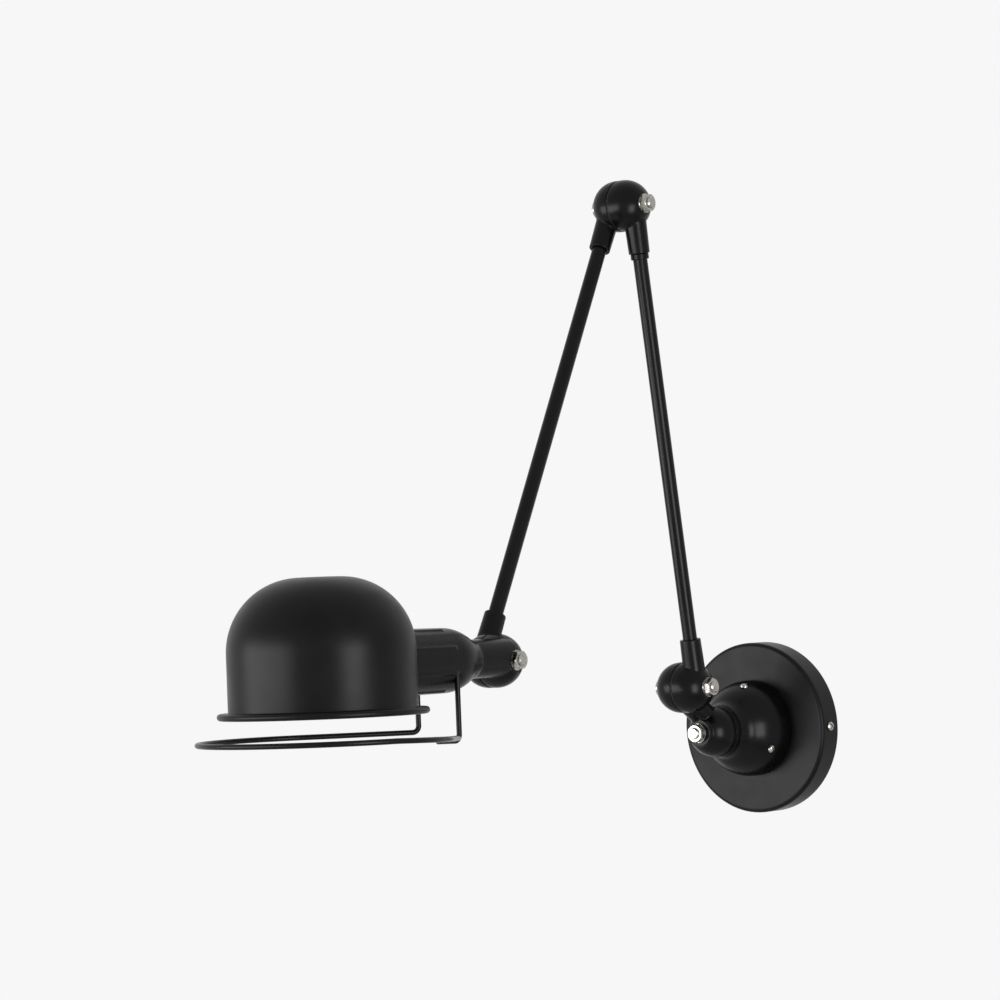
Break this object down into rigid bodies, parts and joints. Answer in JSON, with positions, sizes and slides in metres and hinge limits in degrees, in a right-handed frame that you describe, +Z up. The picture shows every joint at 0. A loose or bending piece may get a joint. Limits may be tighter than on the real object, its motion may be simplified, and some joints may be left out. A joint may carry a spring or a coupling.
{
  "type": "accordion wall lamp",
  "caption": "Accordion wall lamp: round wall canopy, domed swivel, folding tubular arms on split ball joints, side-entry dome shade with a wire handle ring.",
  "frame": {"origin": "centre of the canopy's back, on the wall, at the middle of the wall screw pattern", "axes": "+Z up the wall, -Y out of the wall towards the shade, +X along the arm joints' bolts"},
  "size_m": [0.1566, 0.5484, 0.4393],
  "materials": {
    "black_paint": "satin black stove enamel",
    "canopy_paint": "satin black paint on spun sheet",
    "fastener_steel": "bright nickel-plated steel",
    "bracket_steel": "zinc-plated steel",
    "contact_brass": "turned brass",
    "insulator": "dark phenolic moulding",
    "fibre": "pressed fibre",
    "ceramic_white": "white porcelain-like moulding",
    "opal_glass": "opal-coated glass",
    "handle_wire": "black-painted steel wire"
  },
  "bodies": {
    "wall_mount": {"wall_bracket": "bracket_steel", "canopy": "canopy_paint", "canopy_rim_screws": "fastener_steel", "terminal_block": "ceramic_white", "terminal_screws": "fastener_steel", "earth_screw": "fastener_steel", "canopy_collar": "bracket_steel", "collar_screws": "fastener_steel", "base_dome": "black_paint", "dome_set_screws": "fastener_steel", "swivel_ring_disc": "insulator", "swivel_contact_rings": "contact_brass", "swivel_bolt": "fastener_steel", "swivel_washer": "fastener_steel", "swivel_nut": "fastener_steel", "swivel_seam_ring": "fibre"},
    "knuckle": {"wall_knuckle": "black_paint", "swivel_brush_disc": "insulator", "swivel_brushes": "contact_brass", "shoulder_ring_disc": "insulator", "shoulder_contact_rings": "contact_brass", "shoulder_bolt": "fastener_steel", "shoulder_washer": "fastener_steel", "shoulder_nut": "fastener_steel", "shoulder_seam_ring": "fibre"},
    "lower_arm": {"lower_arm_bottom_joint": "black_paint", "lower_arm_tube": "black_paint", "lower_arm_lock_ring": "black_paint", "lower_arm_top_joint": "black_paint", "shoulder_brush_disc": "insulator", "shoulder_brushes": "contact_brass", "elbow_brush_disc": "insulator", "elbow_brushes": "contact_brass"},
    "upper_arm": {"upper_arm_top_joint": "black_paint", "upper_arm_tube": "black_paint", "upper_arm_bottom_joint": "black_paint", "elbow_ring_disc": "insulator", "elbow_contact_rings": "contact_brass", "elbow_bolt": "fastener_steel", "elbow_washer": "fastener_steel", "elbow_nut": "fastener_steel", "elbow_seam_ring": "fibre", "tilt_ring_disc": "insulator", "tilt_contact_rings": "contact_brass", "tilt_bolt": "fastener_steel", "tilt_washer": "fastener_steel", "tilt_nut": "fastener_steel", "tilt_seam_ring": "fibre"},
    "head": {"head_housing": "black_paint", "tilt_brush_disc": "insulator", "tilt_brushes": "contact_brass", "shade": "black_paint", "shade_clamp_ring": "black_paint", "lamp_holder": "ceramic_white", "holder_shell": "contact_brass", "bulb_cap": "fastener_steel", "bulb_glass": "opal_glass", "handle": "handle_wire"}
  },
  "joints": [
    {"name": "wall_swivel", "type": "hinge", "parent": "wall_mount", "child": "knuckle", "pos_m": [0, -0.0608, 0], "axis": [0, 1, 0], "range_deg": [-175, 175]},
    {"name": "shoulder", "type": "hinge", "parent": "knuckle", "child": "lower_arm", "pos_m": [0, -0.0944, 0.0322], "axis": [1, 0, 0], "range_deg": [-15, 80]},
    {"name": "elbow", "type": "hinge", "parent": "lower_arm", "child": "upper_arm", "pos_m": [0, -0.14017, 0.36204], "axis": [1, 0, 0], "range_deg": [-145, 10]},
    {"name": "head_tilt", "type": "hinge", "parent": "upper_arm", "child": "head", "pos_m": [0, -0.29762, 0.05957], "axis": [1, 0, 0], "range_deg": [-75, 90]}
  ]
}
